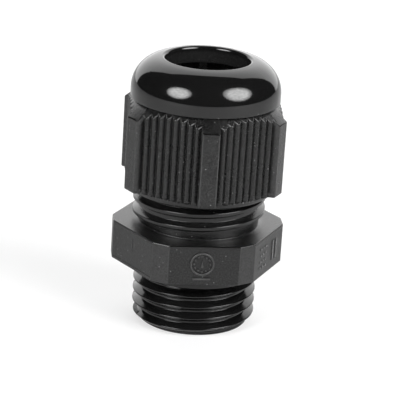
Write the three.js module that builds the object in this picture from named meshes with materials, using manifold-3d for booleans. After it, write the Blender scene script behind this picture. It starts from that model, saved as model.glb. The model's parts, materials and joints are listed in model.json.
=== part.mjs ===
// Polyamide cable gland, M16 x 1.5, for cables of 5 to 10 mm.
//
// Millimetres, +Z up along the cable. The heights below are counted from the wrench flange's underside,
// where a thread's length is counted from too; at the end the assembly is lifted, so that its origin is
// the centre of its lower end. One flat of the flange faces -Y.
// The cap nut is drawn slackened, standing clear of the flange, with its clamping fingers relaxed.
import * as THREE from 'three';
import Module from 'manifold-3d';
import { mergeVertices } from 'three/addons/utils/BufferGeometryUtils.js';

const wasm = await Module();
wasm.setup();

// ---------------------------------------------------------------- driving dimensions

const SIDES = 32;                  // segments in one turn of a round shape
const FLANK = Math.tan(THREE.MathUtils.degToRad(29));   // thread flank, outward run to axial run

const FLANGE = { flat: 10, corner: 10.89, height: 5.05 };
const COLLAR = { radius: 8.4, height: 1.25 };
const NECK = { radius: 8.0, top: 6.4 };

// A thread's crest line passes height `at` where it faces azimuth AIM, measured from +X towards +Y.
const AIM = -96.5;
const CONNECTION = { crest: 7.9, root: 7.0, pitch: 1.5, flat: 0.3, at: -2.78, low: -8.1, high: -2.0 };
const UPPER = { crest: 8.45, root: 7.55, pitch: 1.75, flat: 0.35, at: 8.47, low: 6.4, high: 12.9 };
const THREAD_GAP = 0.14;           // axial play between the cap's thread and the body's
const CREST_GAP = 0.2;             // radial play at crest and root

const BORE = { cable: 5.6, socket: 6.45, seat: 11.0, top: 13.4 };
const KEYS = { count: 4, width: 2.0, drop: 0.8, gap: 0.3 };
const CAGE = { inner: 6.5, outer: 7.3, low: 13.45, high: 14.2 };
const FINGERS = { count: 12, root: 14.4, shoulder: 19.3, tip: 20.3, top: 20.6, wide: 2.7, narrow: 2.1 };
const BUSH = { inner: 5.1, outer: 6.3, low: 11.05, high: 20.2, edge: 0.4 };

const CAP = {
  rim: 8.88, rimZ: 9.53,           // lower lip
  ring: 9.4, ringTop: 10.2,        // plain ring that the grooves end on
  face: 9.55, corner: 10.83,       // distance from the axis to the ribbed faces and to the plain corners
  padHalf: 1.05,                   // half the width of a plain corner
  skirt: 9.44, skirtZ: 21.4,       // round skirt of the dome, above the ribs
  bore: 5.32, landZ: 24.3, top: 26.45,
  domeRound: 4.05, boreRound: 0.4,
  shoulder: 1.2,                   // drop of the shoulder for each unit outward
};
const CAP_CAVITY = { mouth: 8.6, minor: 7.75, threadLow: 10.3, threadHigh: 18.2, chamber: 8.0, coneLow: 19.6 };
const RIBS = { perFace: 8, spacing: 0.985, crest: 0.42, floor: 0.34, depth: 0.36 };

const BLACK_NYLON = { color: 0x17181a, metalness: 0 };

// ---------------------------------------------------------------- solids

// A closed geometry as a solid, ready to be cut and joined.
function solid(geometry) {
  const bare = geometry.clone();
  bare.deleteAttribute('normal');
  bare.deleteAttribute('uv');
  const merged = mergeVertices(bare, 1e-5);
  return new wasm.Manifold(new wasm.Mesh({
    numProp: 3,
    vertProperties: new Float32Array(merged.attributes.position.array),
    triVerts: new Uint32Array(merged.index.array),
  }));
}

function geometryOf(body) {
  const mesh = body.getMesh();
  const geometry = new THREE.BufferGeometry();
  geometry.setAttribute('position', new THREE.BufferAttribute(new Float32Array(mesh.vertProperties), 3));
  geometry.setIndex(new THREE.BufferAttribute(new Uint32Array(mesh.triVerts), 1));
  geometry.computeVertexNormals();
  return geometry;
}

// A profile of [radius, height] points, turned about Z. It runs anticlockwise, and closes on itself
// unless both its ends are on the axis.
function turned(profile, sides = SIDES) {
  const points = profile.map(([radius, height]) => new THREE.Vector2(radius, height));
  const onAxis = points[0].x === 0 && points[points.length - 1].x === 0;
  if (!onAxis) points.push(points[0].clone());
  return new THREE.LatheGeometry(points, sides).rotateX(Math.PI / 2);
}

// A flat outline extruded upwards between two heights.
function prism(outline, low, high) {
  const geometry = new THREE.ExtrudeGeometry(new THREE.Shape(outline), { depth: high - low, bevelEnabled: false });
  return geometry.translate(0, 0, low);
}

function box(width, depth, height, x, y, z) {
  return new THREE.BoxGeometry(width, depth, height).translate(x, y, z);
}

// The ridge of a right-handed thread: a straight bar with the tooth's section, wound down a helix.
// `grow` thickens the tooth on every side, for cutting the mating groove.
function threadRidge({ crest, root, pitch, flat, at, low, high }, grow = { axial: 0, radial: 0 }) {
  const outer = crest + grow.radial;
  const inner = root - 0.3;
  const tipHalf = flat / 2 + grow.axial - grow.radial * FLANK;
  const footHalf = tipHalf + (outer - inner) * FLANK;
  const section = new THREE.Shape([
    new THREE.Vector2(inner, -footHalf),
    new THREE.Vector2(outer, -tipHalf),
    new THREE.Vector2(outer, tipHalf),
    new THREE.Vector2(inner, footHalf),
  ]);
  const turns = (high - low) / pitch + 2;
  const steps = Math.ceil(turns * SIDES);
  const bar = new THREE.ExtrudeGeometry(section, { depth: 1, steps, bevelEnabled: false });
  const place = bar.attributes.position;
  const startTurn = Math.ceil((high - at) / pitch + 1);
  for (let i = 0; i < place.count; i++) {
    const turn = startTurn - place.getZ(i) * (steps / SIDES);
    const angle = turn * 2 * Math.PI;
    const radius = place.getX(i);
    const height = place.getY(i) + at + (turn - AIM / 360) * pitch;
    place.setXYZ(i, radius * Math.cos(angle), radius * Math.sin(angle), height);
  }
  return bar;
}

// Corners of a 12-sided outline whose sides stand at `flat` and `corner` from the axis by turns. The
// first side at distance `flat` has its outward normal at azimuth `start`.
function twelveSided(flat, corner, start) {
  const outline = [];
  for (let i = 0; i < 12; i++) {
    const here = i % 2 ? corner : flat;
    const next = i % 2 ? flat : corner;
    const azimuth = THREE.MathUtils.degToRad(start + 30 * i);
    const along = (next - here * Math.cos(Math.PI / 6)) / Math.sin(Math.PI / 6);
    outline.push(new THREE.Vector2(
      here * Math.cos(azimuth) - along * Math.sin(azimuth),
      here * Math.sin(azimuth) + along * Math.cos(azimuth),
    ));
  }
  return outline;
}

// ---------------------------------------------------------------- pieces

function threadedShank(thread, blank) {
  return solid(threadRidge(thread)).intersect(solid(turned(blank)));
}

// Body: connection thread, collar, wrench flange, neck and cap thread in one moulding, with a bore
// right through it and notches in its top end for the cage's keys.
function glandBody() {
  const { crest, root, low, high } = CONNECTION;
  const lead = 0.9;                              // length of the chamfer that starts each thread
  const over = (radius) => radius + 0.05;        // just clear of the thread's crest
  const flange = solid(prism(twelveSided(FLANGE.flat, FLANGE.corner, -90), 0, FLANGE.height));
  const core = solid(turned([
    [0, low], [root, low], [root, -COLLAR.height], [COLLAR.radius, -COLLAR.height], [COLLAR.radius, 0.5],
    [NECK.radius, 0.5], [NECK.radius, NECK.top], [UPPER.root, NECK.top + 0.4],
    [UPPER.root, BORE.top - 0.3], [UPPER.root - 0.3, BORE.top], [0, BORE.top],
  ]));
  const connection = threadedShank(CONNECTION, [
    [0, low], [root, low], [over(crest), low + lead], [over(crest), high - 0.6], [root, high], [0, high],
  ]);
  const upper = threadedShank(UPPER, [
    [0, NECK.top - 0.5], [NECK.radius, NECK.top - 0.5], [over(UPPER.crest), NECK.top],
    [over(UPPER.crest), UPPER.high - lead], [UPPER.root, UPPER.high], [0, UPPER.high],
  ]);
  const bore = solid(turned([
    [0, low - 1], [BORE.cable, low - 1], [BORE.cable, BORE.seat],
    [BORE.socket, BORE.seat], [BORE.socket, BORE.top + 1], [0, BORE.top + 1],
  ]));
  let body = flange.add(core).add(connection).add(upper).subtract(bore);
  for (const notch of keyBars(KEYS.gap)) body = body.subtract(notch);
  return geometryOf(body);
}

// Bars across the body's top end: the cage's keys, or with a gap added, the notches that take them.
function keyBars(gap) {
  const low = BORE.top - KEYS.drop - gap;
  const high = CAGE.low + 0.3;
  const bars = [];
  for (let i = 0; i < KEYS.count / 2; i++) {
    const bar = box(20, KEYS.width + 2 * gap, high - low, 0, 0, (low + high) / 2);
    bars.push(solid(bar.rotateZ(THREE.MathUtils.degToRad(45 + 90 * i))));
  }
  return bars;
}

// Cage ring: carries the fingers, and its keys stop it from turning in the body.
function clampCage() {
  const sleeve = solid(turned([
    [CAGE.inner, BORE.top - KEYS.drop], [CAGE.outer, BORE.top - KEYS.drop],
    [CAGE.outer, CAGE.high], [CAGE.inner, CAGE.high],
  ]));
  const above = solid(box(20, 20, 5, 0, 0, CAGE.low + 2.5));
  const [first, second] = keyBars(0);
  return geometryOf(sleeve.intersect(above.add(first).add(second)));
}

// One finger: a tapering blade in the ring's radial plane, leaning back to a bevelled tip.
function clampFinger() {
  const { root, shoulder, tip, top, wide, narrow } = FINGERS;
  const blade = new THREE.Shape([
    new THREE.Vector2(CAGE.inner, root),
    new THREE.Vector2(CAGE.outer, root),
    new THREE.Vector2(CAGE.outer, shoulder),
    new THREE.Vector2(CAGE.outer - 0.25, tip),
    new THREE.Vector2(CAGE.outer - 0.65, top),
    new THREE.Vector2(CAGE.inner - 0.1, top),
    new THREE.Vector2(CAGE.inner - 0.1, tip),
    new THREE.Vector2(CAGE.inner, shoulder),
  ]);
  const geometry = new THREE.ExtrudeGeometry(blade, { depth: 1, bevelEnabled: false });
  const place = geometry.attributes.position;
  for (let i = 0; i < place.count; i++) {
    const radius = place.getX(i);
    const height = place.getY(i);
    const width = THREE.MathUtils.mapLinear(height, root, top, wide, narrow);
    place.setXYZ(i, radius, (0.5 - place.getZ(i)) * width, height);
  }
  return geometryOf(solid(geometry));
}

// Sealing bush: a rubber sleeve, seated on the step in the body's bore and standing inside the fingers.
function sealingBush() {
  const { inner, outer, low, high, edge } = BUSH;
  return turned([
    [inner, low + edge], [inner + edge, low], [outer, low], [outer, high - edge],
    [outer - edge, high], [inner + edge, high], [inner, high - edge],
  ]);
}

// Outline of the cap's ribbed hexagon: six faces of half-round ribs between six plain corner strips.
function ribbedOutline() {
  const outline = [];
  const point = (azimuth, along, out) => new THREE.Vector2(
    out * Math.cos(azimuth) - along * Math.sin(azimuth),
    out * Math.sin(azimuth) + along * Math.cos(azimuth),
  );
  for (let side = 0; side < 6; side++) {
    const pad = THREE.MathUtils.degToRad(-90 + 60 * side);
    outline.push(point(pad, -CAP.padHalf, CAP.corner), point(pad, CAP.padHalf, CAP.corner));
    const face = pad + Math.PI / 6;
    for (let groove = -RIBS.perFace / 2; groove <= RIBS.perFace / 2; groove++) {
      const middle = groove * RIBS.spacing;
      const mouth = (RIBS.spacing - RIBS.crest) / 2;
      const half = RIBS.floor / 2;
      outline.push(
        point(face, middle - mouth, CAP.face), point(face, middle - half, CAP.face - RIBS.depth),
        point(face, middle + half, CAP.face - RIBS.depth), point(face, middle + mouth, CAP.face),
      );
    }
  }
  return outline;
}

// Quarter arc in the radius-height plane, from `from` to `to` in degrees about a centre.
function arc(radius, height, round, from, to, steps) {
  return Array.from({ length: steps + 1 }, (_, i) => {
    const angle = THREE.MathUtils.degToRad(from + (to - from) * i / steps);
    return [radius + round * Math.cos(angle), height + round * Math.sin(angle)];
  });
}

// Cap nut: a domed nut with a ribbed grip, a thread in its skirt and a cone above it that bends the
// fingers inwards as the nut goes down.
function capNut() {
  const reach = 11.5;
  const grip = solid(prism(ribbedOutline(), CAP.rimZ, CAP.skirtZ)).intersect(solid(turned([
    [0, CAP.rimZ], [CAP.rim, CAP.rimZ], [CAP.corner, CAP.rimZ + 0.95], [reach, CAP.rimZ + 1.5],
    [reach, CAP.skirtZ - (reach - CAP.skirt) * CAP.shoulder], [CAP.skirt, CAP.skirtZ], [0, CAP.skirtZ],
  ])));
  const ring = solid(turned([
    [0, CAP.rimZ], [CAP.rim, CAP.rimZ], [CAP.ring, CAP.rimZ + 0.3], [CAP.ring, CAP.ringTop], [0, CAP.ringTop],
  ]));
  const domeFoot = CAP.top - CAP.domeRound;
  const dome = solid(turned([
    [0, CAP.skirtZ - 2], [CAP.skirt - 0.3, CAP.skirtZ - 2], [CAP.skirt - 0.3, CAP.skirtZ], [CAP.skirt, CAP.skirtZ],
    ...arc(CAP.skirt - CAP.domeRound, domeFoot, CAP.domeRound, 0, 90, 8),
    [0, CAP.top],
  ]));
  const { mouth, minor, threadLow, threadHigh, chamber, coneLow } = CAP_CAVITY;
  const cavity = solid(turned([
    [0, CAP.rimZ - 1], [mouth, CAP.rimZ - 1], [mouth, threadLow - 0.4], [minor, threadLow + 0.5],
    [minor, threadHigh - 0.9], [mouth, threadHigh - 0.5], [mouth, threadHigh], [chamber, threadHigh + 0.5],
    [chamber, coneLow], [CAP.bore + 0.18, CAP.landZ], [CAP.bore, CAP.landZ], [CAP.bore, CAP.top - CAP.boreRound],
    [CAP.bore + CAP.boreRound, CAP.top + 0.01], [CAP.bore + CAP.boreRound, CAP.top + 1], [0, CAP.top + 1],
  ]));
  const threads = { ...UPPER, low: threadLow, high: threadHigh };
  const groove = solid(threadRidge(threads, { axial: THREAD_GAP, radial: CREST_GAP })).intersect(solid(turned([
    [0, threadLow - 0.5], [reach, threadLow - 0.5], [reach, threadHigh], [0, threadHigh],
  ])));
  return geometryOf(grip.add(ring).add(dome).subtract(cavity).subtract(groove));
}

// ---------------------------------------------------------------- assembly

function piece(name, geometry, finish) {
  const mesh = new THREE.Mesh(geometry, new THREE.MeshStandardMaterial(finish));
  mesh.name = name;
  return mesh;
}

const gland = new THREE.Group();
gland.position.z = -CONNECTION.low;
gland.add(
  piece('gland_body', glandBody(), { ...BLACK_NYLON, roughness: 0.38 }),
  piece('clamp_cage', clampCage(), { ...BLACK_NYLON, roughness: 0.45 }),
  piece('sealing_bush', sealingBush(), { color: 0x101011, roughness: 0.75, metalness: 0 }),
  piece('cap_nut', capNut(), { ...BLACK_NYLON, roughness: 0.3 }),
);

for (let i = 0; i < FINGERS.count; i++) {
  const number = String(i + 1).padStart(2, '0');
  const finger = piece(`clamp_finger_${number}`, clampFinger(), { ...BLACK_NYLON, roughness: 0.45 });
  finger.rotation.z = i * 2 * Math.PI / FINGERS.count;
  gland.add(finger);
}

export default gland;
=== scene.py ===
import json
import math

import bmesh
import bpy
import numpy as np
from mathutils import Matrix, Vector


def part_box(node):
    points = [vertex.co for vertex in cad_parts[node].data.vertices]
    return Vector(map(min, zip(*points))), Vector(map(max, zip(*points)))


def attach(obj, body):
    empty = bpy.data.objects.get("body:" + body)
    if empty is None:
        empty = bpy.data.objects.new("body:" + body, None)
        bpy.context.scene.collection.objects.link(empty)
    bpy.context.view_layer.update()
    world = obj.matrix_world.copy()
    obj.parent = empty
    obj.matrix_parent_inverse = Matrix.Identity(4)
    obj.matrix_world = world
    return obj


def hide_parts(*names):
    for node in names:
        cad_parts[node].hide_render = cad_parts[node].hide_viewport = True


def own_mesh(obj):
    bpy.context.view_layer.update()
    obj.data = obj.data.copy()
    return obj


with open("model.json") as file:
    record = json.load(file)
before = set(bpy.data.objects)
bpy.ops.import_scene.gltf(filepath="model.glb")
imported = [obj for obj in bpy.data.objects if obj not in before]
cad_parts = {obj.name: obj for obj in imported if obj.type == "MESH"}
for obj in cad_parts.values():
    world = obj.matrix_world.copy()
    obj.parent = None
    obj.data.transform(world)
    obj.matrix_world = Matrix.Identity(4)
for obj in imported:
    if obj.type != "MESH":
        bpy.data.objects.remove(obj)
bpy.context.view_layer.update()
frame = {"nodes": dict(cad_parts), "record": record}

# Shapes are worked out in millimetres, with heights counted from the underside of the hex flange, which
# stands LIFT above the origin. What the frame's boxes and mounts say is read from them, to a thousandth.
MM = 0.001
MOUNTS = {mount["name"]: mount for mount in frame["record"]["mounts"]}
LIFT = round(MOUNTS["flange_face"]["pos_m"][2] / MM, 3)


def cad_corner(node, end):
    """A CAD node's lowest (0) or highest (1) corner, with its height counted from the flange."""
    x, y, z = (round(v / MM, 3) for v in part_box(node)[end])
    return x, y, round(z - LIFT, 3)


# Body. A thread's crest passes height `at` where it faces azimuth AIM. flank is its axial run for each
# unit of depth, soft the rounding of its upper edge, and start the turn at which the ridge grows out of
# the core (-99 is long before the thread begins). The lower thread's end is chamfered down to END_CORE,
# from END_RUN_OUT above the end, and GROOVE is the radius it is cut to under the collar.
AIM = math.radians(-96.5)
FLANGE_CORNER, FLANGE_FLAT, BODY_TOP = cad_corner("gland_body", 1)
FLANGE = dict(flat=FLANGE_FLAT, corner=FLANGE_CORNER, height=5.05, sharp=520)
END_CORE, END_RUN_OUT = 7.07, 0.32
GROOVE = 6.6
COLLAR, COLLAR_Z = 8.4, -1.25
NECK, NECK_Z = 7.74, 6.5
LOWER = dict(
    crest=7.9, root=7.05, pitch=1.5, flat=0.14, flank=0.645,
    at=-2.6, low=-7.96, high=-1.35, soft=0.1, start=-99,
)
UPPER = dict(
    crest=8.45, root=7.7, pitch=1.75, flat=0.4, flank=0.555,
    at=8.47, low=5.3, high=12.9, soft=0.1, start=-1.6,
)
BODY_BORE, SOCKET, SEAT = 5.6, 6.45, 11.0

# Cap. FACE and CORNER are the distances from the axis to the ribbed faces and to the plain corners, and
# PAD is half a corner's width. INSIDE is the cap's own thread: the body's, with play all round.
CAP_LOW = cad_corner("cap_nut", 0)[2]
CORNER = cad_corner("cap_nut", 1)[1]
FACE, PAD, PAD_LEAN, PAD_EDGE = 9.55, 1.05, math.radians(58), 0.1
TWIST = math.radians(-1)
GRIP_LOW, GRIP_EDGE = 10.54, 0.22
RIB = dict(spacing=0.985, grooves=9, depth=0.5, power=1.6)
SKIRT, SKIRT_Z, DOME, TOP = 9.44, 21.4, 4.05, 26.45
BORE, BORE_EDGE, LAND_Z = 5.32, 0.4, 24.3
SHOULDER = dict(foot=20.86, fall=0.88, pad_top=19.84, pad_fall=0.86, undercut=0.58)
CHAMBER, CONE_LOW, MOUTH = 8.0, 19.6, 8.6
INSIDE = dict(UPPER, crest=8.62, root=7.88, flat=0.68, low=10.3, high=18.2)

# Where points are placed: in degrees across a corner edge of the flange, and across one rib, from the
# valley at -1 to the crest at 0 and down again.
EDGE_STEPS = (-0.9, -0.45, -0.2, 0, 0.2, 0.45, 0.9)
RIB_STEPS = np.array([-1, -0.93, -0.82, -0.66, -0.48, -0.28, -0.1, 0.1, 0.28, 0.48, 0.66, 0.82, 0.93])

# Bush, and how much of its height it keeps when the cap is down.
BUSH_LOW = cad_corner("sealing_bush", 0)[2]
BUSH_OUT, _, BUSH_HIGH = cad_corner("sealing_bush", 1)
BUSH_IN, BUSH_EDGE, BUSH_LIP = 5.1, 0.3, 0.15

# Studio, in metres and degrees, with azimuths counted from -Y. The camera stands at the photograph's
# viewing angle. It aims at a point aim_z up and aside to the right of the axis, both in millimetres.
# FRONT is the azimuth that the floor, the backdrop and the softboxes are turned to.
CAMERA = dict(
    azimuth=-6.5426, elevation=19.4141, roll=-3.6071, lens=178.71, distance=0.25354,
    aside=0.12, aim_z=15.726,
)
FRONT = round(CAMERA["azimuth"], 2)
FLOOR = 0.66
BACKDROP = 0.6
SOFTBOX = dict(distance=0.5, aim=0.018, power=10.5, sides=24)


# ---------------------------------------------------------------- mesh helpers
def smoothstep(x):
    x = np.clip(x, 0, 1)
    return x * x * (3 - 2 * x)


def twelve_sided(theta, flat, corner, sharp):
    """Radius of a hexagon with flattened corners; a higher sharp gives a smaller corner rounding."""
    sides = [(flat, math.radians(60 * i - 90)) for i in range(6)]
    sides += [(corner, math.radians(60 * i - 60)) for i in range(6)]
    best = np.max([np.cos(theta - a) / d for d, a in sides], axis=0)
    total = sum(np.power(np.clip(np.cos(theta - a) / d / best, 1e-9, None), sharp) for d, a in sides)
    return 1 / (best * np.power(total, 1 / sharp))


def placed(name, mesh):
    obj = bpy.data.objects.new(name, mesh)
    bpy.context.scene.collection.objects.link(obj)
    return obj


def point_layer(mesh, name, values):
    """Values that the materials read, one for each of the mesh's points."""
    attribute = mesh.attributes.new(name, "FLOAT", "POINT")
    attribute.data.foreach_set("value", values.astype(np.float32))


def ring(theta, r, z):
    r = np.broadcast_to(r, theta.shape)
    z = np.broadcast_to(z, theta.shape)
    return np.stack([r * np.cos(theta), r * np.sin(theta), z], axis=1)


def thread_profile(t):
    """Heights across one ridge, from root to root, and the radius at each."""
    half = t["flat"] / 2
    foot = half + (t["crest"] - t["root"]) * t["flank"]
    crest, root = t["crest"], t["root"]
    points = fillet(root, -foot - 1, root, -foot, crest, -half, 0.08, 3)
    points += fillet(root, -foot, crest, -half, crest, half, 0.03, 2)
    points += fillet(crest, -half, crest, half, root, foot, t["soft"], 5)
    points += fillet(crest, half, root, foot, root, foot + 1, 0.08, 3)
    radii, heights = zip(*points)
    return np.array(heights), np.array(radii)


def thread_radius(t, climb, z):
    """Radius of the thread at height z, and how many turns z lies from the ridge through AIM."""
    heights, radii = thread_profile(t)
    knots = np.concatenate([heights - t["pitch"], heights, heights + t["pitch"]])
    turn = (z - t["at"]) / t["pitch"] - climb
    return np.interp((turn - np.round(turn)) * t["pitch"], knots, np.tile(radii, 3)), turn


def thread_rows(theta, t, limit, gloss):
    """Rows that climb with the helix, clipped to the thread's two ends: the rows, the gloss of each row's
    points, which has a value of its own on the crest's upper edge, and the seam shift."""
    heights = thread_profile(t)[0]
    pitch = t["pitch"]
    marks = np.sort(np.append(heights, [(heights[0] + heights[-1] + pitch) / 2]) / pitch)
    first = math.floor((t["low"] - t["at"]) / pitch + AIM / (2 * math.pi)) - 2
    last = math.ceil((t["high"] - t["at"]) / pitch + AIM / (2 * math.pi)) + 1
    climb = (theta % (2 * math.pi) - AIM) / (2 * math.pi)
    rows, shine = [], []
    for n in range(first, last + 1):
        for mark in marks:
            z = np.clip(t["at"] + pitch * (n + mark + climb), t["low"], t["high"])
            r, turn = thread_radius(t, climb, z)
            # the ridge grows out of the core over the first third of a turn
            grown = smoothstep((np.round(turn) + climb - t["start"]) / 0.35)
            r = t["root"] + (r - t["root"]) * grown
            rows.append(ring(theta, limit(r, z), z))
            on_edge = (t["crest"] - r < 0.12) & (turn > np.round(turn) + 0.01)
            shine.append(np.where(on_edge, 0.9, gloss))
    return rows, shine, len(marks)


class Skin:
    """A closed, ring-shaped skin built row by row round the axis. Each point keeps its gloss and how much
    its colour is lightened: in part by real rubbing, in part as painted highlight and painted bounce light.
    seam says which row a row's last point joins: its own, or on a thread the one a turn higher."""

    def __init__(self, theta):
        self.theta = theta
        self.rows = []
        self.seam = []
        self.gloss = []
        self.wear_and_painted_light = []

    def add(self, rows, shift=0, gloss=0.0, wear_and_painted_light=0.0):
        start = len(self.rows)
        last = start + len(rows) - 1
        for k, row in enumerate(rows):
            self.rows.append(row)
            self.seam.append(min(start + k + shift, last) if shift else start + k)
            self.gloss.append(np.broadcast_to(gloss, self.theta.shape))
            self.wear_and_painted_light.append(np.broadcast_to(wear_and_painted_light, self.theta.shape))

    def thread(self, t, limit, gloss):
        rows, shine, shift = thread_rows(self.theta, t, limit, gloss)
        start = len(self.rows)
        self.add(rows, shift)
        self.gloss[start:] = shine

    def round(self, profile, gloss=0.0):
        self.add([ring(self.theta, r, z) for r, z in profile], gloss=gloss)

    def mesh(self, name):
        pts = np.concatenate(self.rows) * MM
        pts[:, 2] += LIFT * MM
        count, n = len(self.rows), len(self.theta)
        seam = np.array(self.seam)
        row = np.arange(count)[:, None]
        column = np.arange(n)[None, :]
        above = (row + 1) % count
        beside = (column + 1) % n
        wrap = column == n - 1
        a = row * n + column
        b = np.where(wrap, seam[row], row) * n + beside
        c = np.where(wrap, seam[above], above) * n + beside
        d = above * n + column
        faces = np.stack([a, b, c, d], axis=-1).reshape(-1, 4)
        mesh = bpy.data.meshes.new(name)
        mesh.from_pydata(pts.tolist(), [], faces.tolist())
        point_layer(mesh, "gloss", np.concatenate(self.gloss))
        point_layer(mesh, "wear_and_painted_light", np.concatenate(self.wear_and_painted_light))
        bm = bmesh.new()
        bm.from_mesh(mesh)
        bmesh.ops.remove_doubles(bm, verts=bm.verts, dist=0.0015 * MM)
        bmesh.ops.dissolve_degenerate(bm, edges=bm.edges, dist=0.0005 * MM)
        bm.to_mesh(mesh)
        bm.free()
        mesh.shade_smooth()
        return placed(name, mesh)


def weighted(obj):
    """Leans the shading on the larger faces, so that a flat looks flat beside its rounded edge."""
    mod = obj.modifiers.new("weighted", "WEIGHTED_NORMAL")
    mod.mode = "FACE_AREA_WITH_ANGLE"
    mod.weight = 60
    mod.keep_sharp = True
    return obj


def fillet(r0, z0, r1, z1, r2, z2, radius, steps):
    """Points that round the corner at (r1, z1) between the legs to (r0, z0) and (r2, z2)."""
    p = np.array([r1, z1])
    u = np.array([r0, z0]) - p
    v = np.array([r2, z2]) - p
    u = u / np.linalg.norm(u)
    v = v / np.linalg.norm(v)
    half = math.acos(np.clip(u @ v, -1, 1)) / 2
    reach = radius / math.tan(half)
    centre = p + (u + v) / np.linalg.norm(u + v) * radius / math.sin(half)
    a0 = math.atan2(*(p + u * reach - centre)[::-1])
    a1 = math.atan2(*(p + v * reach - centre)[::-1])
    turn = (a1 - a0 + math.pi) % (2 * math.pi) - math.pi
    stops = [a0 + turn * i / steps for i in range(steps + 1)]
    return [(centre[0] + radius * math.cos(a), centre[1] + radius * math.sin(a)) for a in stops]


# ---------------------------------------------------------------- the threaded body
CORNER_HALF = math.atan2((FLANGE["corner"] - FLANGE["flat"] * math.cos(math.pi / 6)) * 2, FLANGE["flat"])


def body_angles():
    """Azimuths of the body's points, closest together at the corner edges of the flange."""
    angles = []
    for i in range(6):
        face = math.radians(60 * i - 90)
        for side in (-1, 1):
            angles += [face + side * CORNER_HALF + math.radians(x) for x in EDGE_STEPS]
        angles += list(face + np.linspace(-CORNER_HALF + 0.03, CORNER_HALF - 0.03, 25))
        angles += list(face + math.radians(30) + np.linspace(-0.06, 0.06, 5))
    return np.array(sorted(a % (2 * math.pi) for a in angles))


def flange_wear_and_painted_light(theta):
    """The plain corners are coarser than the flats and lighter in colour, a painted highlight for the
    softbox light they catch, and the edges between them are lighter still.
    """
    off = np.abs((theta + math.radians(90 + 30)) % math.radians(60) - math.radians(30))
    corner = smoothstep((off - CORNER_HALF) / math.radians(0.6) + 0.5) * 0.38
    edge = np.clip(1 - np.abs(off - CORNER_HALF) / math.radians(0.3), 0, 1)
    return np.maximum(corner, edge)


def make_body():
    theta = body_angles()
    skin = Skin(theta)
    full = twelve_sided(theta, FLANGE["flat"], FLANGE["corner"], FLANGE["sharp"])
    rubbed_and_painted_light = flange_wear_and_painted_light(theta)

    def hexes(points, gloss, wear_and_painted_light=0.0):
        # inset is measured inward from the finished outline
        skin.add([ring(theta, full - inset, z) for inset, z in points], gloss=gloss, wear_and_painted_light=wear_and_painted_light)

    # the lower end, its thread cut back at both ends: to a chamfer below and a groove under the collar
    low = -LIFT
    skin.round([(5.75, low), (6.3, low), (6.95, low), (7.02, low + 0.02), (7.06, low + 0.07)], gloss=0.6)

    def lower_limit(r, z):
        chamfer = END_CORE + np.maximum(z - low - END_RUN_OUT, 0) * 1.6
        groove = np.interp(z, [-2.15, -1.95, -1.3], [LOWER["crest"], LOWER["root"], GROOVE])
        return np.minimum(r, np.minimum(chamfer, groove))

    skin.thread(LOWER, lower_limit, 1.0)
    skin.round([(GROOVE, -1.3), (GROOVE + 0.03, COLLAR_Z), (7.6, COLLAR_Z)], gloss=1.0)
    skin.round(fillet(7.6, COLLAR_Z, COLLAR, COLLAR_Z, COLLAR, 0, 0.04, 2), gloss=0.5)
    skin.round([(COLLAR, -0.6), (COLLAR, -0.06), (COLLAR + 0.03, 0.0), (8.9, 0.0)], gloss=0.4)
    # the flange: a nearly sharp edge below, a rounded one above
    edge, height = 0.04, FLANGE["height"]
    bend = np.linspace(0, math.pi / 2, 4)
    bottom = [(edge + 0.35, 0.0)]
    bottom += [(edge * (1 - math.sin(a)), edge * (1 - math.cos(a))) for a in bend]
    # the corners and edges are lightened in colour: on the corners a painted highlight for the softbox light
    # they catch
    hexes(bottom, 0.0, rubbed_and_painted_light)
    hexes([(0, 0.4), (0, 1.5), (0, 2.5), (0, height - 1.5), (0, height - 0.4)], 0.0, rubbed_and_painted_light)
    edge = 0.1
    top = [(edge * (1 - math.cos(a)), height - edge * (1 - math.sin(a))) for a in bend]
    hexes(top, 0.9, rubbed_and_painted_light)
    hexes([(edge + 0.1, height), (edge + 0.4, height)], 0.1)
    neck_foot = [(NECK + 0.02, height), (NECK, height + 0.02), (NECK, 5.2)]
    skin.round([(9.1, height), (8.5, height)] + neck_foot, gloss=0.1)

    # the upper thread, on a plain neck and with a chamfer at its top, then down the inside
    def upper_limit(r, z):
        crown = 7.62 + (UPPER["high"] + 0.2 - z) * 1.3
        return np.minimum(np.maximum(r, np.where(z < NECK_Z, NECK, 0)), crown)

    skin.thread(UPPER, upper_limit, 0.25)
    skin.round([(7.5, 12.95), (7.5, 13.2), (7.35, 13.38)], gloss=0.5)
    skin.round([(7.2, BODY_TOP), (6.6, BODY_TOP), (SOCKET, 13.3)], gloss=0.5)
    skin.round([(SOCKET, 11.1), (6.4, SEAT), (5.75, SEAT), (BODY_BORE, 10.85)], gloss=0.4)
    skin.round([(BODY_BORE, 4.0), (BODY_BORE, -7.8), (5.66, -8.04)], gloss=0.4)
    return skin.mesh("threaded_body")


# ---------------------------------------------------------------- the ribbed clamping cap
def groove_depth(t):
    """Depth below the rib crests at t along a ribbed face: rounded ribs that meet in sharp valleys."""
    half = RIB["spacing"] / 2
    reach = half * (RIB["grooves"] - 1)
    off = np.abs((np.clip(t, -reach, reach) + reach) % RIB["spacing"] - half)
    return RIB["depth"] * (off / half) ** RIB["power"]


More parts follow.
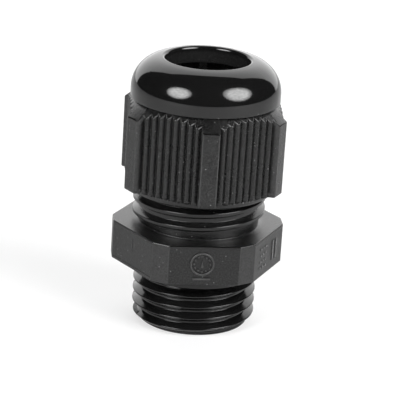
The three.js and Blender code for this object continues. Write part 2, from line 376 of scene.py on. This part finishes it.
def cap_outline():
    """One turn of the cap's ribbed outline: points, their azimuths, how deep each is in a groove, how much
    it is lightened (on the rounded corner edges: partly worn, partly a painted highlight) and whether it
    belongs to a plain corner."""
    rows = []
    half = RIB["spacing"] / 2
    reach = half * (RIB["grooves"] - 1)
    for i in range(6):
        a = math.radians(60 * i - 60) + TWIST
        n = np.array([math.cos(a), math.sin(a)])
        side = np.array([-n[1], n[0]])
        ribs = [-reach + (2 * g + 1 + RIB_STEPS) * half for g in range(RIB["grooves"] - 1)]
        ts = np.concatenate(ribs + [[reach]])
        for t, d in zip(ts, groove_depth(ts)):
            p = n * (FACE - d) + side * t
            rows.append((p[0], p[1], a + math.atan2(t, FACE), d / RIB["depth"], 0.0, 0.0))
        # the plain corner between this face and the next, with its two edges rounded
        m = a + math.radians(30)
        mn = np.array([math.cos(m), math.sin(m)])
        ms = np.array([-mn[1], mn[0]])
        cut = PAD_EDGE * math.tan(PAD_LEAN / 2)
        for s in (-1, 1):
            # from the corner's face round its edge
            arc = []
            for q in np.linspace(0, 1, 5):
                phi = m + s * PAD_LEAN * q
                centre = mn * (CORNER - PAD_EDGE) + ms * s * (PAD - cut)
                arc.append(centre + PAD_EDGE * np.array([math.cos(phi), math.sin(phi)]))
            if s > 0:
                for t in (-PAD + 0.16, -0.5, 0.0, 0.5, PAD - 0.16):
                    p = mn * CORNER + ms * t
                    rows.append((p[0], p[1], m + math.atan2(t, CORNER), 0.0, 0.0, 1.0))
            for p in arc[::s]:
                # the rounded edges are lightened: partly worn, partly a painted highlight for the glint
                # along them
                rows.append((p[0], p[1], math.atan2(p[1], p[0]), 0.0, 0.8, 1.0))
    x, y, angles, groove, wear_and_painted_light, pad = np.array(rows).T
    return np.column_stack([x, y]), np.unwrap(angles), groove, wear_and_painted_light, pad


def shoulder_height(r, pad):
    """Height of the shoulder at radius r: one slope over the ribs, another over a plain corner."""
    over_ribs = SHOULDER["foot"] - SHOULDER["fall"] * (r - SKIRT)
    over_pad = SHOULDER["pad_top"] - SHOULDER["pad_fall"] * (r - CORNER)
    return np.minimum(np.where(pad > 0, over_pad, over_ribs), SKIRT_Z - 0.03)


def make_cap():
    points, angles, groove, wear_and_painted_light, pad = cap_outline()
    r_out = np.hypot(points[:, 0], points[:, 1])
    skin = Skin(angles)
    n = len(angles)
    # smooth stretches use every second azimuth twice over; the doubled points are merged in the end
    sparse = angles[(np.arange(n) // 2) * 2]

    def outline(z, inset=0.0):
        xy = points * (1 - inset / r_out)[:, None]
        return np.column_stack([xy, np.broadcast_to(z, (n,))])

    def rounds(profile, gloss, theta=sparse, wear_and_painted_light=0.0):
        skin.add([ring(theta, r, z) for r, z in profile], gloss=gloss, wear_and_painted_light=wear_and_painted_light)

    # the lower lip
    rounds([(8.62, CAP_LOW)], 0.6)
    rounds([(8.82, CAP_LOW), (8.9, 9.535), (9.02, 9.56), (9.14, 9.64), (9.22, 9.76)], 0.5, angles)
    rounds([(9.28, 9.92), (9.32, 10.08), (9.34, 10.17)], 0.4, angles)
    # the step from the ring out to the knurling
    start = ring(angles, 9.36, 10.2)
    end = outline(10.42, 0.14)
    for f in (0.0, 0.5):
        skin.add([start * (1 - f) + end * f], gloss=0.3)
    # the rounded corner edges stay lightened up the sides: partly worn, partly painted highlight
    skin.add([outline(10.40, 0.16), outline(10.44, 0.05), outline(GRIP_LOW)], gloss=0.1, wear_and_painted_light=wear_and_painted_light * 0.5)
    top = shoulder_height(r_out, pad)
    for f in (0.05, 0.3, 0.5, 0.7, 0.95):
        skin.add([outline(GRIP_LOW * (1 - f) + (top - 0.3) * f)], wear_and_painted_light=wear_and_painted_light)
    # the rounded upper edge: bright on the crests, and on the sides of the ribs a painted highlight: colour
    # lightened to stand in for the glints at the rib tips
    crest = np.where(groove < 0.6, 0.9, 0.2)
    painted_tip_glint = 3.5 * smoothstep((groove - 0.08) / 0.2) * smoothstep((0.85 - groove) / 0.2)
    skin.add([outline(top - 0.16)], wear_and_painted_light=wear_and_painted_light)
    lean = math.atan(1 / SHOULDER["fall"])
    for q in np.linspace(0, lean, 5):
        inset = GRIP_EDGE * (1 - math.cos(q))
        rise = GRIP_EDGE * (math.sin(q) - math.tan(lean / 2))
        z = np.minimum(top + rise, shoulder_height(r_out - inset, pad))
        tip = painted_tip_glint if 0.1 < q / lean < 0.9 else 0
        skin.add([outline(z, inset)], gloss=crest, wear_and_painted_light=wear_and_painted_light * 0.3 + tip)
    # over the shoulder and in under the edge of the dome
    depth = np.maximum(r_out - (SKIRT - SHOULDER["undercut"]), 0.16)
    for f in (0.0, 0.06, 0.4, 0.75, 1.0):
        inset = 0.13 + (depth - 0.13) * f
        skin.add([outline(shoulder_height(r_out - inset, pad), inset)])
    skin.add([outline(SKIRT_Z, depth)])
    rounds([(SKIRT - 0.02, SKIRT_Z), (SKIRT - 0.004, SKIRT_Z + 0.004), (SKIRT, SKIRT_Z + 0.02)], 0.2, angles)
    dome = [(SKIRT, SKIRT_Z + 0.5), (SKIRT, TOP - DOME - 0.15)]
    dome += [
        (SKIRT - DOME + DOME * math.cos(a), TOP - DOME + DOME * math.sin(a))
        for a in np.linspace(0, math.radians(84), 20)
    ]
    rounds(dome, 1.0)
    lip = fillet(SKIRT - DOME + 1.2, TOP, BORE, TOP, BORE, 24, BORE_EDGE, 8)
    rounds(lip, 1.0)
    land = [(BORE, 25.6), (BORE, 25.0), (BORE, 24.5), (BORE + 0.02, 24.33), (BORE + 0.06, LAND_Z)]
    # the land is lightened in colour: painted light for the light bounced round inside the bore
    rounds(land, 0.9, wear_and_painted_light=0.22)
    # the cone that bends the fingers, the chamber under it and the thread
    rounds([(5.5, LAND_Z), (6.3, 22.8), (7.3, 20.92), (CHAMBER, CONE_LOW), (8.02, 19.3), (8.02, 18.4)], 0.0)
    for z in np.linspace(INSIDE["high"], INSIDE["low"], 52):
        r = thread_radius(INSIDE, (sparse - AIM) / (2 * math.pi), z)[0]
        funnel = MOUTH - (z - INSIDE["low"]) * 1.4
        skin.add([ring(sparse, np.maximum(r, funnel), z)], gloss=0.5)
    return skin.mesh("clamping_cap")


# ---------------------------------------------------------------- moulded marks
class Relief:
    """Low raised shapes on one flat of the flange, drawn in the flat's own plane: across, and up."""

    SUNK, PROUD = -0.1, 0.24

    def __init__(self, azimuth):
        a = math.radians(azimuth)
        self.out = np.array([math.cos(a), math.sin(a), 0])
        self.across = np.array([-math.sin(a), math.cos(a), 0])
        self.bm = bmesh.new()

    def loop(self, outline, proud):
        verts = []
        for t, z in outline:
            p = self.out * (FLANGE["flat"] + proud) + self.across * t + np.array([0, 0, z + LIFT])
            verts.append(self.bm.verts.new(p * MM))
        return verts

    def wall(self, lower, upper):
        n = len(lower)
        for i in range(n):
            self.bm.faces.new((lower[i], lower[(i + 1) % n], upper[(i + 1) % n], upper[i]))

    def stud(self, outline, proud=PROUD, bevel=0.1):
        outline = np.array(outline)
        middle = outline.mean(axis=0)
        reach = np.abs(outline - middle).max()
        inner = middle + (outline - middle) * max(1 - bevel / reach, 0.3)
        loops = [self.loop(outline, self.SUNK), self.loop(outline, proud - bevel), self.loop(inner, proud)]
        self.wall(loops[0], loops[1])
        self.wall(loops[1], loops[2])
        self.bm.faces.new(loops[2])
        self.bm.faces.new(reversed(loops[0]))

    def hoop(self, t, z, radius, width):
        half = [(width / 2, self.SUNK), (width / 2, self.PROUD - 0.06), (width / 4, self.PROUD)]
        section = [(-off, height) for off, height in half] + half[::-1]
        loops = [self.loop(round_outline(t, z, radius + off, 40), height) for off, height in section]
        for lower, upper in zip(loops, loops[1:] + loops[:1]):
            self.wall(upper, lower)

    def mesh(self, name, wear_and_painted_light):
        """The finished marks, their colour lightened by the amount given: 1 is light, a higher one lighter
        still.
        """
        bmesh.ops.recalc_face_normals(self.bm, faces=self.bm.faces)
        mesh = bpy.data.meshes.new(name)
        self.bm.to_mesh(mesh)
        self.bm.free()
        point_layer(mesh, "gloss", np.full(len(mesh.vertices), 0.7))
        point_layer(mesh, "wear_and_painted_light", np.full(len(mesh.vertices), wear_and_painted_light))
        return placed(name, mesh)


def round_outline(t, z, radius, steps):
    """A circle of points round (t, z) in a flat's plane; t is across it and z up."""
    turns = np.linspace(0, 2 * math.pi, steps, endpoint=False)
    return [(t + radius * math.cos(a), z + radius * math.sin(a)) for a in turns]


def bar_outline(t, z, width, height):
    return [(t - width / 2, z - height / 2), (t + width / 2, z - height / 2),
            (t + width / 2, z + height / 2), (t - width / 2, z + height / 2)]


def make_mould_dial():
    """A plain mould date dial: a ring, twelve pips and a pointer, over a bar."""
    relief = Relief(-90)
    t, z = -0.25, 2.75
    relief.hoop(t, z, radius=1.4, width=0.22)
    for i in range(12):
        a = math.radians(30 * i)
        relief.stud(round_outline(t + 1.0 * math.cos(a), z + 1.0 * math.sin(a), 0.12, 8))
    relief.stud([(t - 0.16, z - 0.45), (t + 0.16, z - 0.45), (t, z + 0.6)])
    relief.stud(bar_outline(t, 0.8, 2.2, 0.24))
    # painted highlight: the dial is lightened for the glints on its edges
    return relief.mesh("mould_date_dial", 1.0)


def make_cavity_dots():
    """Rows of dots beside two upright bars, as a mould cavity is counted."""
    relief = Relief(-30)
    for row in range(4):
        for column in range(3):
            dot = round_outline(-2.5 + 0.8 * column, 1.2 + 0.85 * row, 0.2, 8)
            relief.stud(dot, proud=0.1, bevel=0.06)
    for t in (1.3, 2.3):
        relief.stud(bar_outline(t, 2.5, 0.34, 2.7), proud=0.1, bevel=0.06)
    # painted highlight: the dots and bars are lightened for the bright lines on their edges
    return relief.mesh("mould_cavity_dots", 3.5)


def make_mould_seam():
    """The fine seam of the mould's lower half along one flat, and a short upright scratch over it."""
    relief = Relief(-150)
    relief.stud(bar_outline(0.0, 0.36, 8.6, 0.07), proud=0.04, bevel=0.02)
    relief.stud(bar_outline(0.05, 3.1, 0.14, 1.6), proud=0.02, bevel=0.015)
    return relief.mesh("mould_seam", 0.3)


# ---------------------------------------------------------------- the rubber bush
def make_bush():
    theta = np.linspace(0, 2 * math.pi, 144, endpoint=False)
    skin = Skin(theta)
    low, high = BUSH_LOW, BUSH_HIGH
    outer = fillet(5.6, low, BUSH_OUT, low, BUSH_OUT, 20, BUSH_EDGE, 3)
    # it narrows upward, to leave room for the fingers as they bend in
    outer += [(BUSH_OUT, 13), (BUSH_OUT, 15.2), (5.95, 17.6)]
    outer += fillet(5.95, 17.6, 5.58, high, 5.3, high, BUSH_LIP, 5)
    inner = fillet(5.3, high, BUSH_IN, high, BUSH_IN, 18, BUSH_LIP, 5)
    inner += [(BUSH_IN, 18), (BUSH_IN, 16), (BUSH_IN, 13)]
    inner += fillet(BUSH_IN, 13, BUSH_IN, low, 5.6, low, BUSH_EDGE, 3)
    skin.round(outer + inner)
    return skin.mesh("sealing_ring")


# ---------------------------------------------------------------- materials
def node_material(name):
    mat = bpy.data.materials.new(name)
    mat.use_nodes = True
    tree = mat.node_tree
    return mat, tree, tree.nodes["Principled BSDF"]


def noise(tree, coords, scale, detail):
    tex = tree.nodes.new("ShaderNodeTexNoise")
    tex.inputs["Scale"].default_value = scale
    tex.inputs["Detail"].default_value = detail
    tex.inputs["Roughness"].default_value = 0.55
    tree.links.new(coords, tex.inputs["Vector"])
    return tex.outputs["Fac"]


def mix(tree, fac, low, high):
    """A node that runs from low to high as fac runs from 0 to 1."""
    node = tree.nodes.new("ShaderNodeMapRange")
    node.clamp = True
    tree.links.new(fac, node.inputs["Value"])
    for key, value in (("To Min", low), ("To Max", high)):
        if isinstance(value, (int, float)):
            node.inputs[key].default_value = value
        else:
            tree.links.new(value, node.inputs[key])
    return node


def maths(tree, kind, a, b):
    node = tree.nodes.new("ShaderNodeMath")
    node.operation = kind
    for i, value in enumerate((a, b)):
        if isinstance(value, (int, float)):
            node.inputs[i].default_value = value
        else:
            tree.links.new(value, node.inputs[i])
    return node.outputs[0]


def bump(tree, height, distance, strength):
    """A bump node; distance is in metres, and strength a number or a socket."""
    node = tree.nodes.new("ShaderNodeBump")
    node.inputs["Distance"].default_value = distance
    if isinstance(strength, (int, float)):
        node.inputs["Strength"].default_value = strength
    else:
        tree.links.new(strength, node.inputs["Strength"])
    tree.links.new(height, node.inputs["Height"])
    return node


def layer(tree, name):
    node = tree.nodes.new("ShaderNodeAttribute")
    node.attribute_name = name
    return node.outputs["Fac"]


def specks(tree, coords):
    """Sparse light dust specks, a tenth of a millimetre across."""
    cells = tree.nodes.new("ShaderNodeTexVoronoi")
    cells.inputs["Scale"].default_value = 1500.0
    tree.links.new(coords, cells.inputs["Vector"])
    dot = mix(tree, cells.outputs["Distance"], 1.0, 0.0)
    dot.inputs["From Min"].default_value = 0.06
    dot.inputs["From Max"].default_value = 0.13
    some = maths(tree, "GREATER_THAN", cells.outputs["Color"], 0.45)
    return maths(tree, "MULTIPLY", dot.outputs[0], some)


def nylon(name, dark, rough_matt, rough_gloss, grain):
    """Moulded black polyamide: glossy where the mould was polished, finely grained and a little dusty
    elsewhere, and lighter in colour where it is worn and where a highlight or bounce light is painted in."""
    mat, tree, bsdf = node_material(name)
    coords = tree.nodes.new("ShaderNodeTexCoord").outputs["Object"]
    gloss = layer(tree, "gloss")
    wear_and_painted_light = layer(tree, "wear_and_painted_light")
    matt = maths(tree, "SUBTRACT", 1.0, gloss)
    cloud = noise(tree, coords, 260.0, 3.0)
    fine = noise(tree, coords, 6500.0, 2.0)
    rough = mix(tree, gloss, rough_matt, rough_gloss).outputs[0]
    rough = maths(tree, "ADD", rough, mix(tree, cloud, -0.02, 0.03).outputs[0])
    rough = maths(tree, "ADD", rough, maths(tree, "MULTIPLY", wear_and_painted_light, 0.2))
    tree.links.new(rough, bsdf.inputs["Roughness"])
    patchy = mix(tree, noise(tree, coords, 1500.0, 2.0), 0.015, 0.055).outputs[0]
    # lighter colour where it is set: partly real rubbing, partly painted highlight and painted bounce light
    rubbed_and_painted_light = maths(tree, "MULTIPLY", wear_and_painted_light, patchy)
    dust = maths(tree, "MULTIPLY", maths(tree, "MULTIPLY", specks(tree, coords), matt), 0.16)
    grit = mix(tree, noise(tree, coords, 5200.0, 1.0), -0.004, 0.017)
    grit.inputs["From Min"].default_value = 0.35
    grit.inputs["From Max"].default_value = 0.75
    sandy = maths(tree, "MULTIPLY", grit.outputs[0], matt)
    colour = maths(tree, "ADD", maths(tree, "ADD", rubbed_and_painted_light, dust), maths(tree, "ADD", sandy, dark))
    tree.links.new(colour, bsdf.inputs["Base Color"])
    bsdf.inputs["IOR"].default_value = 1.53
    grainy = bump(tree, fine, 0.0001, maths(tree, "MULTIPLY", matt, grain))
    wavy = bump(tree, cloud, 0.0002, 0.05)
    tree.links.new(grainy.outputs[0], wavy.inputs["Normal"])
    tree.links.new(wavy.outputs[0], bsdf.inputs["Normal"])
    return mat


def rubber(name):
    """Matt black rubber with a soft grain."""
    mat, tree, bsdf = node_material(name)
    coords = tree.nodes.new("ShaderNodeTexCoord").outputs["Object"]
    bsdf.inputs["Base Color"].default_value = (0.02, 0.02, 0.02, 1)
    cloud = noise(tree, coords, 600.0, 5.0)
    rough = mix(tree, cloud, 0.5, 0.75).outputs[0]
    tree.links.new(rough, bsdf.inputs["Roughness"])
    grainy = bump(tree, noise(tree, coords, 3000.0, 3.0), 0.00005, 0.5)
    tree.links.new(grainy.outputs[0], bsdf.inputs["Normal"])
    return mat


# ---------------------------------------------------------------- studio
def direction(azimuth, elevation):
    a, e = math.radians(azimuth), math.radians(elevation)
    return Vector((math.sin(a) * math.cos(e), -math.cos(a) * math.cos(e), math.sin(e)))


def softbox(name, azimuth, elevation, radius):
    """A round glowing sheet that faces the gland, brightest in its middle and folded like cloth."""
    out_from = direction(azimuth, elevation)
    sides = SOFTBOX["sides"]
    turns = [2 * math.pi * i / sides for i in range(sides)]
    verts = [(math.cos(a) * radius, math.sin(a) * radius, 0) for a in turns]
    mesh = bpy.data.meshes.new(name)
    mesh.from_pydata(verts, [], [tuple(range(sides - 1, -1, -1))])
    obj = placed(name, mesh)
    centre = out_from * SOFTBOX["distance"] + Vector((0, 0, SOFTBOX["aim"]))
    obj.matrix_world = Matrix.Translation(centre) @ out_from.to_track_quat("Z", "Y").to_matrix().to_4x4()
    obj.visible_camera = False
    mat = bpy.data.materials.new(name)
    mat.use_nodes = True
    tree = mat.node_tree
    tree.nodes.clear()
    out = tree.nodes.new("ShaderNodeOutputMaterial")
    glow = tree.nodes.new("ShaderNodeEmission")
    coords = tree.nodes.new("ShaderNodeTexCoord").outputs["Object"]
    length = tree.nodes.new("ShaderNodeVectorMath")
    length.operation = "LENGTH"
    tree.links.new(coords, length.inputs[0])
    fade = mix(tree, length.outputs["Value"], SOFTBOX["power"] * 1.08, SOFTBOX["power"] * 0.28)
    fade.interpolation_type = "SMOOTHSTEP"
    fade.inputs["From Min"].default_value = radius * 0.5
    fade.inputs["From Max"].default_value = radius * 1.05
    folds = mix(tree, noise(tree, coords, 26.0, 2.0), 0.62, 1.34)
    folds.inputs["From Min"].default_value = 0.3
    folds.inputs["From Max"].default_value = 0.7
    tree.links.new(maths(tree, "MULTIPLY", fade.outputs[0], folds.outputs[0]), glow.inputs["Strength"])
    tree.links.new(glow.outputs[0], out.inputs["Surface"])
    mesh.materials.append(mat)


def sheet(name, corners, grey):
    """A flat four-cornered sheet that glows white, turned to the camera: its node tree and its shader."""
    mesh = bpy.data.meshes.new(name)
    mesh.from_pydata(corners, [], [(0, 1, 2, 3)])
    obj = placed(name, mesh)
    obj.matrix_world = Matrix.Rotation(math.radians(FRONT), 4, "Z")
    mat, tree, bsdf = node_material(name)
    bsdf.inputs["Base Color"].default_value = (grey, grey, grey, 1)
    bsdf.inputs["Emission Color"].default_value = (1, 1, 1, 1)
    mesh.materials.append(mat)
    return tree, bsdf


def for_camera(tree, others, camera):
    """One value for what the camera sees directly and another for the light the object gets."""
    seen = tree.nodes.new("ShaderNodeLightPath").outputs["Is Camera Ray"]
    return mix(tree, seen, others, camera).outputs[0]


def studio():
    """A pale floor and backdrop in a dim world, lit by two softboxes."""
    world = bpy.data.worlds.new("studio")
    bpy.context.scene.world = world
    world.use_nodes = True
    back = world.node_tree.nodes["Background"]
    back.inputs["Color"].default_value = (1, 1, 1, 1)
    world.node_tree.links.new(for_camera(world.node_tree, 0.02, 1.05), back.inputs["Strength"])
    reach = FLOOR
    corners = [(-reach, -reach, 0), (reach, -reach, 0), (reach, reach, 0), (-reach, reach, 0)]
    tree, bsdf = sheet("floor", corners, 0.45)
    bsdf.inputs["Roughness"].default_value = 0.7
    tree.links.new(for_camera(tree, 0.16, 0.5), bsdf.inputs["Emission Strength"])
    away, side, high = BACKDROP, 1.11 * BACKDROP, 2.25 * BACKDROP
    corners = [(-side, away, 0), (side, away, 0), (side, away, high), (-side, away, high)]
    tree, bsdf = sheet("backdrop", corners, 0.2)
    bsdf.inputs["Emission Strength"].default_value = 1.6
    softbox("softbox_left", azimuth=FRONT - 45, elevation=31, radius=0.17)
    softbox("softbox_right", azimuth=FRONT + 57, elevation=34, radius=0.2)


def camera():
    roll = math.radians(CAMERA["roll"])
    back = direction(CAMERA["azimuth"], CAMERA["elevation"])
    right = (-back).cross(Vector((0, 0, 1))).normalized()
    up = right.cross(-back)
    x = right * math.cos(roll) - up * math.sin(roll)
    y = up * math.cos(roll) + right * math.sin(roll)
    aim = (right * CAMERA["aside"] + Vector((0, 0, CAMERA["aim_z"]))) * MM
    data = bpy.data.cameras.new("camera")
    data.sensor_width = 36
    data.lens = CAMERA["lens"]
    data.clip_start = 0.01
    data.clip_end = 10
    obj = placed("camera", data)
    turn = Matrix((x, y, back)).transposed().to_4x4()
    obj.matrix_world = Matrix.Translation(aim + back * CAMERA["distance"]) @ turn
    bpy.context.scene.camera = obj


# ---------------------------------------------------------------- assembly
body = weighted(make_body())
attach(body, "gland_body")
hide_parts("gland_body")
body_nylon = nylon("body_nylon", dark=0.0036, rough_matt=0.3, rough_gloss=0.11, grain=0.35)
body.data.materials.append(body_nylon)
for mark in (make_mould_dial(), make_cavity_dots(), make_mould_seam()):
    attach(mark, "gland_body")
    mark.data.materials.append(body_nylon)

cap = weighted(make_cap())
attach(cap, "cap_nut")
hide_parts("cap_nut")
cap_nylon = nylon("cap_nylon", dark=0.0055, rough_matt=0.27, rough_gloss=0.08, grain=0.3)
cap.data.materials.append(cap_nylon)

bush = make_bush()
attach(bush, "sealing_bush")
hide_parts("sealing_bush")
bush.data.materials.append(rubber("bush_rubber"))
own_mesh(bush)

cage_nylon = nylon("cage_nylon", dark=0.004, rough_matt=0.5, rough_gloss=0.3, grain=0.4)
for name, obj in frame["nodes"].items():
    if name == "clamp_cage" or name.startswith("clamp_finger"):
        obj.data.materials.clear()
        obj.data.materials.append(cage_nylon)

studio()
camera()
bpy.context.scene.view_settings.view_transform = "Standard"
